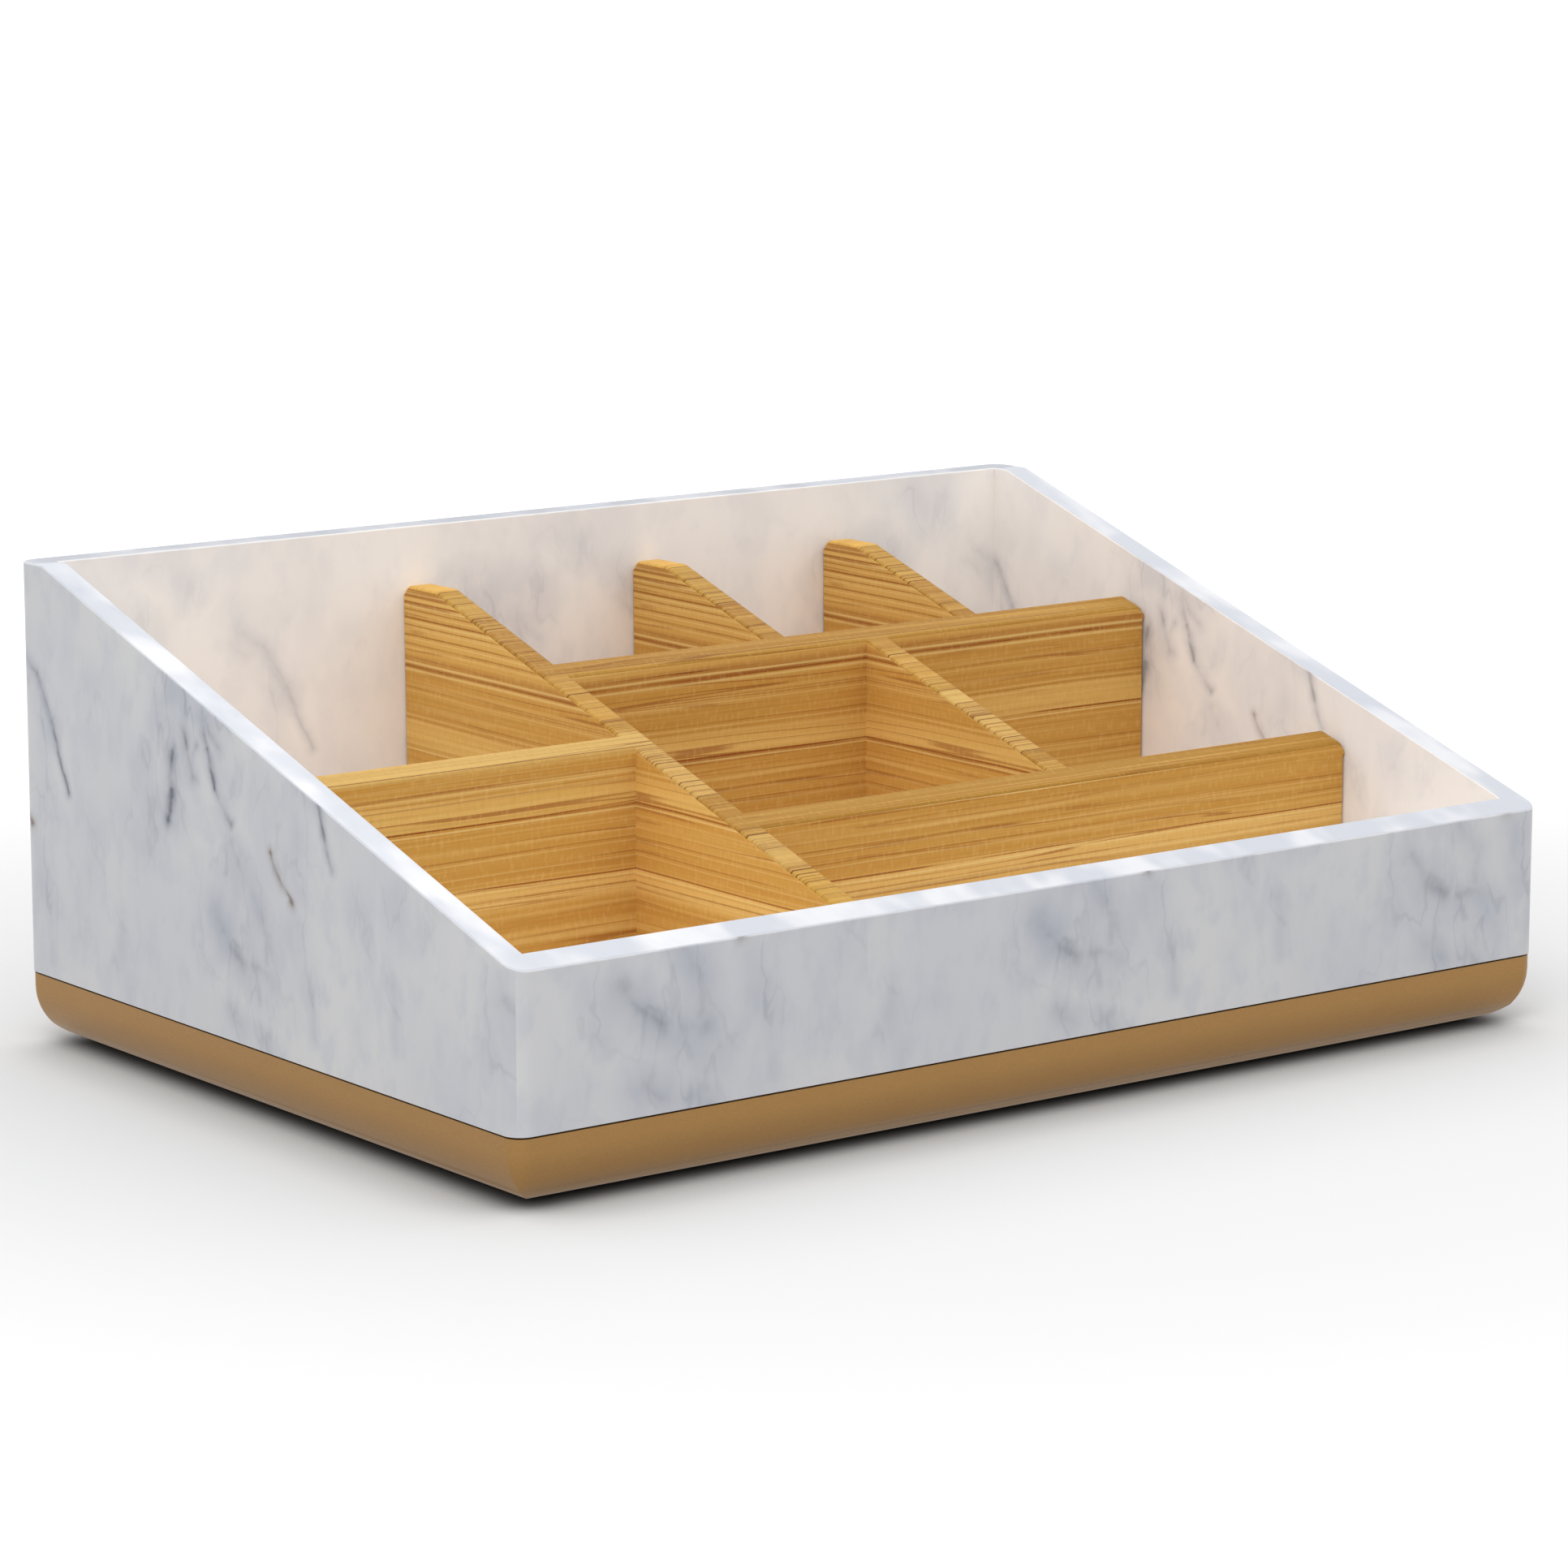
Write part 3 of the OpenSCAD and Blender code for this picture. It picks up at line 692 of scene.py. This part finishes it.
# Pieces with eased edges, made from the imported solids

def welded_copy(node):
    """The node's mesh with shared corners and whole flat faces, ready to be worked on."""
    mesh = bmesh.new()
    mesh.from_mesh(node.data)
    bmesh.ops.remove_doubles(mesh, verts=mesh.verts, dist=WELD_REACH * MM)
    bmesh.ops.dissolve_limit(mesh, angle_limit=math.radians(FLAT_ANGLE), verts=mesh.verts,
                             edges=mesh.edges)
    return mesh


def add_piece(mesh, name, body, material, nodes, sharp_angle):
    """Makes the piece, which stands for the nodes, and shades it with flat faces kept flat."""
    data = bpy.data.meshes.new(name)
    mesh.to_mesh(data)
    mesh.free()
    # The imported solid's own shading doesn't fit the new faces
    if "custom_normal" in data.attributes:
        data.attributes.remove(data.attributes["custom_normal"])
    data.shade_smooth()
    data.set_sharp_from_angle(angle=math.radians(sharp_angle))
    data.materials.append(material)
    piece = bpy.data.objects.new(name, data)
    bpy.context.scene.collection.objects.link(piece)
    flatten = piece.modifiers.new("flat faces", "WEIGHTED_NORMAL")
    flatten.keep_sharp = True
    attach(piece, body)
    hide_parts(*nodes)


class Run:
    """Where one board's top runs, in plan: its two sides and its two ends. The rounds of a
    butted board run on into the board that it meets, as far as its reach."""

    def __init__(self, name):
        low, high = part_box(name)
        sizes = [high[axis] - low[axis] for axis in (0, 1)]
        self.name = name
        self.across = 0 if sizes[0] < sizes[1] else 1
        self.along = 1 - self.across
        self.sides = (low[self.across] / MM, high[self.across] / MM)
        self.ends = (low[self.along] / MM, high[self.along] / MM)
        extra = BOARD_ROUND if name in BUTTED_BOARDS else 0.0
        self.reach = (self.ends[0] - extra, self.ends[1] + extra)

    def depth(self, point):
        """How far the point lies inside the nearer side, or 0 outside the run."""
        along = point[self.along]
        if not self.reach[0] - PLACE_TOLERANCE <= along <= self.reach[1] + PLACE_TOLERANCE:
            return 0.0
        across = point[self.across]
        return max(0.0, min(across - self.sides[0], self.sides[1] - across))

    def cuts(self):
        """Where the round's facets meet the top, measured across the run."""
        places = []
        for step in range(1, ROUND_STEPS + 1):
            inset = BOARD_ROUND * (1 - math.cos(math.radians(90 * step / ROUND_STEPS)))
            places += [self.sides[0] + inset, self.sides[1] - inset]
        return places + list(self.sides)

    def overlaps(self, other):
        """True if the other run crosses or meets this one."""
        if other.across == self.across:
            return other.name == self.name
        crosses = self.ends[0] < other.sides[1] and self.ends[1] > other.sides[0]
        return crosses and other.reach[0] < self.sides[1] and other.reach[1] > self.sides[0]


def at_wall(point, axis):
    """True if the point lies on an end that faces a wall of the casing."""
    wall_end = (WALL_END_X, WALL_END_Y)[axis]
    return abs(abs(point[axis]) / MM - wall_end) < WALL_END_TOLERANCE


def round_direction(vertex, run):
    """The way out of the board's top or wall end at this corner, or None off them."""
    outward = Vector((0, 0, 0))
    at_joint = False
    for face in vertex.link_faces:
        normal = face.normal
        if abs(normal[run.across]) > SIDE_NORMAL or normal.z < UNDERSIDE_NORMAL:
            continue
        is_end = abs(normal[run.along]) > END_NORMAL
        if is_end and not at_wall(face.calc_center_median(), run.along):
            at_joint = True
        else:
            outward += normal
    outward[run.across] = 0.0
    if outward.length < SHORTEST_OUTWARD:
        return None
    return Vector((0, 0, 1)) if at_joint else outward.normalized()


def cut_along(mesh, run, other):
    """Cuts the board where the facets of the other run's rounds cross it."""
    axis = Vector((0, 0, 0))
    axis[other.across] = 1.0
    low, high = run.sides if other.across == run.across else run.ends
    for place in other.cuts():
        if low + PLACE_TOLERANCE < place < high - PLACE_TOLERANCE:
            geometry = mesh.verts[:] + mesh.edges[:] + mesh.faces[:]
            bmesh.ops.bisect_plane(mesh, geom=geometry, plane_co=axis * place * MM,
                                   plane_no=axis, dist=CUT_TOLERANCE * MM)


def round_over(mesh, run, runs):
    """Rounds the upper edges of one board. Where boards meet, their rounds meet in a mitre."""
    for other in runs:
        if run.overlaps(other):
            cut_along(mesh, run, other)
    mesh.normal_update()
    moves = []
    for vertex in mesh.verts:
        depth = max(other.depth(vertex.co / MM) for other in runs)
        if depth >= BOARD_ROUND:
            continue
        outward = round_direction(vertex, run)
        if outward is not None:
            rise = math.sqrt(BOARD_ROUND ** 2 - (BOARD_ROUND - depth) ** 2)
            moves.append((vertex, outward * (rise - BOARD_ROUND) * MM))
    for vertex, move in moves:
        vertex.co += move


def add_boards(frame, material):
    """Each board of the insert, with its upper edges rounded."""
    runs = [Run(name) for name in LAPPED_BOARDS + BUTTED_BOARDS]
    for run in runs:
        mesh = welded_copy(frame["nodes"][run.name])
        round_over(mesh, run, runs)
        add_piece(mesh, "board." + run.name, "divider_insert", material, (run.name,),
                  BOARD_SHARP_ANGLE)


def add_casing(frame, material):
    """The casing, with the edges of its rim eased."""
    mesh = welded_copy(frame["nodes"]["casing"])
    mesh.normal_update()
    rim_edges = []
    for edge in mesh.edges:
        if len(edge.link_faces) != 2 or edge.verts[0].co.z <= RIM_LOWEST * MM:
            continue
        lower, upper = sorted(face.normal.z for face in edge.link_faces)
        if abs(lower) < WALL_RISE and upper > RIM_RISE:
            rim_edges.append(edge)
    bmesh.ops.bevel(mesh, geom=rim_edges, offset=RIM_ROUND * MM, segments=RIM_STEPS, profile=0.5,
                    affect="EDGES")
    add_piece(mesh, "casing.marble", "housing", material, ("casing",),
              CASING_SHARP_ANGLE)


def add_base(frame, material):
    """The base. Its corners that meet at one point are joined, so no face is without area."""
    mesh = welded_copy(frame["nodes"]["base"])
    add_piece(mesh, "base.gold", "housing", material, ("base",), BASE_SHARP_ANGLE)


def paint_nodes(frame, materials):
    """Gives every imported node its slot's material."""
    for subpart in frame["record"]["subparts"]:
        node = frame["nodes"][subpart["node"]]
        node.data.materials.clear()
        node.data.materials.append(materials[subpart["material_slot"]])


# Studio

def straight_rays(tree, *kinds):
    """1 for rays of these kinds that no rough surface has sent on."""
    path = tree.add("LightPath")
    chosen = 0.0
    for kind in kinds:
        chosen = tree.math("MAXIMUM", chosen, path.outputs[f"Is {kind} Ray"])
    return tree.times(chosen, tree.math("LESS_THAN", path.outputs["Diffuse Depth"], 0.5))


def shown_rays(tree):
    """1 for the rays that show the background."""
    return straight_rays(tree, "Camera", "Glossy", "Transmission")


def add_world():
    """A white background, and for all other rays a dome of light, much brighter high up."""
    world = bpy.data.worlds.new("studio")
    bpy.context.scene.world = world
    world.use_nodes = True
    tree = Tree(world.node_tree)
    height = tree.split(tree.add("TexCoord").outputs["Generated"])[2]
    sky = tree.step(height, 0.0, HIGH_SKY, LOW_SKY_LEVEL, HIGH_SKY_LEVEL)
    background = tree.add("Background")
    tree.feed(background.inputs["Color"], srgb(255, 255, 255))
    tree.feed(background.inputs["Strength"], tree.choose(shown_rays(tree), sky, 1.0))
    output = tree.add("OutputWorld")
    tree.feed(output.inputs["Surface"], background.outputs["Background"])


def floor_material():
    """Plain white that keeps the object's shadow. Gloss and metal see it partly without the
    shadow, and it bounces little light, so that the walls' lower parts stay plain."""
    material, tree = new_material("floor")
    material.cycles.emission_sampling = "NONE"
    distance = tree.vector_math("LENGTH", tree.place()[2])
    level = tree.step(distance, *FLOOR_WHITE_REACH, FLOOR_WHITE, 1.0)
    under = tree.add("AmbientOcclusion", samples=CONTACT_SAMPLES)
    tree.feed(under.inputs["Distance"], CONTACT_REACH * MM)
    contact = tree.step(under.outputs["AO"], 0.0, CONTACT_OPEN_SHARE, CONTACT_LEVEL, 1.0)
    level = tree.choose(shown_rays(tree), FLOOR_BOUNCE, tree.times(level, contact))
    diffuse = tree.add("BsdfDiffuse")
    tree.feed(diffuse.inputs["Color"], tree.vector(level, level, level))
    plain = tree.add("Emission")
    tree.feed(plain.inputs["Strength"], FLOOR_MIRRORED)
    surface = tree.add("MixShader")
    mirrored = tree.times(straight_rays(tree, "Glossy", "Transmission"), FLOOR_PLAIN_SHARE)
    tree.feed_all(surface.inputs, (mirrored, diffuse.outputs[0], plain.outputs[0]))
    output = tree.add("OutputMaterial")
    tree.feed(output.inputs["Surface"], surface.outputs[0])
    return material


def add_floor():
    mesh = bmesh.new()
    bmesh.ops.create_circle(mesh, cap_ends=True, segments=FLOOR_SIDES, radius=FLOOR_RADIUS * MM)
    data = bpy.data.meshes.new("floor")
    mesh.to_mesh(data)
    mesh.free()
    data.materials.append(floor_material())
    floor = bpy.data.objects.new("floor", data)
    bpy.context.scene.collection.objects.link(floor)


def aim(thing, target):
    """Turns a camera or lamp at the target."""
    thing.rotation_euler = (target - thing.location).to_track_quat("-Z", "Y").to_euler()


def add_softbox(name, direction, size, power):
    """A square lamp that looks at the object and isn't seen itself."""
    data = bpy.data.lights.new(name, "AREA")
    data.size = size * MM
    data.energy = power
    lamp = bpy.data.objects.new(name, data)
    bpy.context.scene.collection.objects.link(lamp)
    lamp.location = Vector(direction).normalized() * LAMP_DISTANCE * MM
    lamp.visible_camera = False
    aim(lamp, Vector(LAMP_TARGET) * MM)


def add_camera():
    data = bpy.data.cameras.new("camera")
    data.sensor_width = SENSOR_WIDTH
    data.lens = SENSOR_WIDTH * FOCAL_LENGTH_PX / PHOTO_SIDE_PX
    camera = bpy.data.objects.new("camera", data)
    bpy.context.scene.collection.objects.link(camera)
    azimuth = math.radians(CAMERA_AZIMUTH)
    elevation = math.radians(CAMERA_ELEVATION)
    back = Vector((math.sin(azimuth) * math.cos(elevation),
                   -math.cos(azimuth) * math.cos(elevation),
                   math.sin(elevation)))
    target = Vector(CAMERA_TARGET) * MM
    camera.location = target + back * CAMERA_DISTANCE * MM
    aim(camera, target)
    bpy.context.scene.camera = camera


def main():
    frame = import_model()
    materials = make_materials()
    paint_nodes(frame, materials)
    add_boards(frame, materials["bamboo"])
    add_casing(frame, materials["marble"])
    add_base(frame, materials["gold"])
    add_world()
    add_floor()
    add_softbox("rim light", direction=(0.480, 0.600, 0.640), size=420.0, power=1.2)
    add_softbox("front light", direction=(-0.51, -0.45, 0.73), size=900.0, power=9.8)
    add_camera()
    bpy.context.scene.view_settings.view_transform = "Standard"


main()
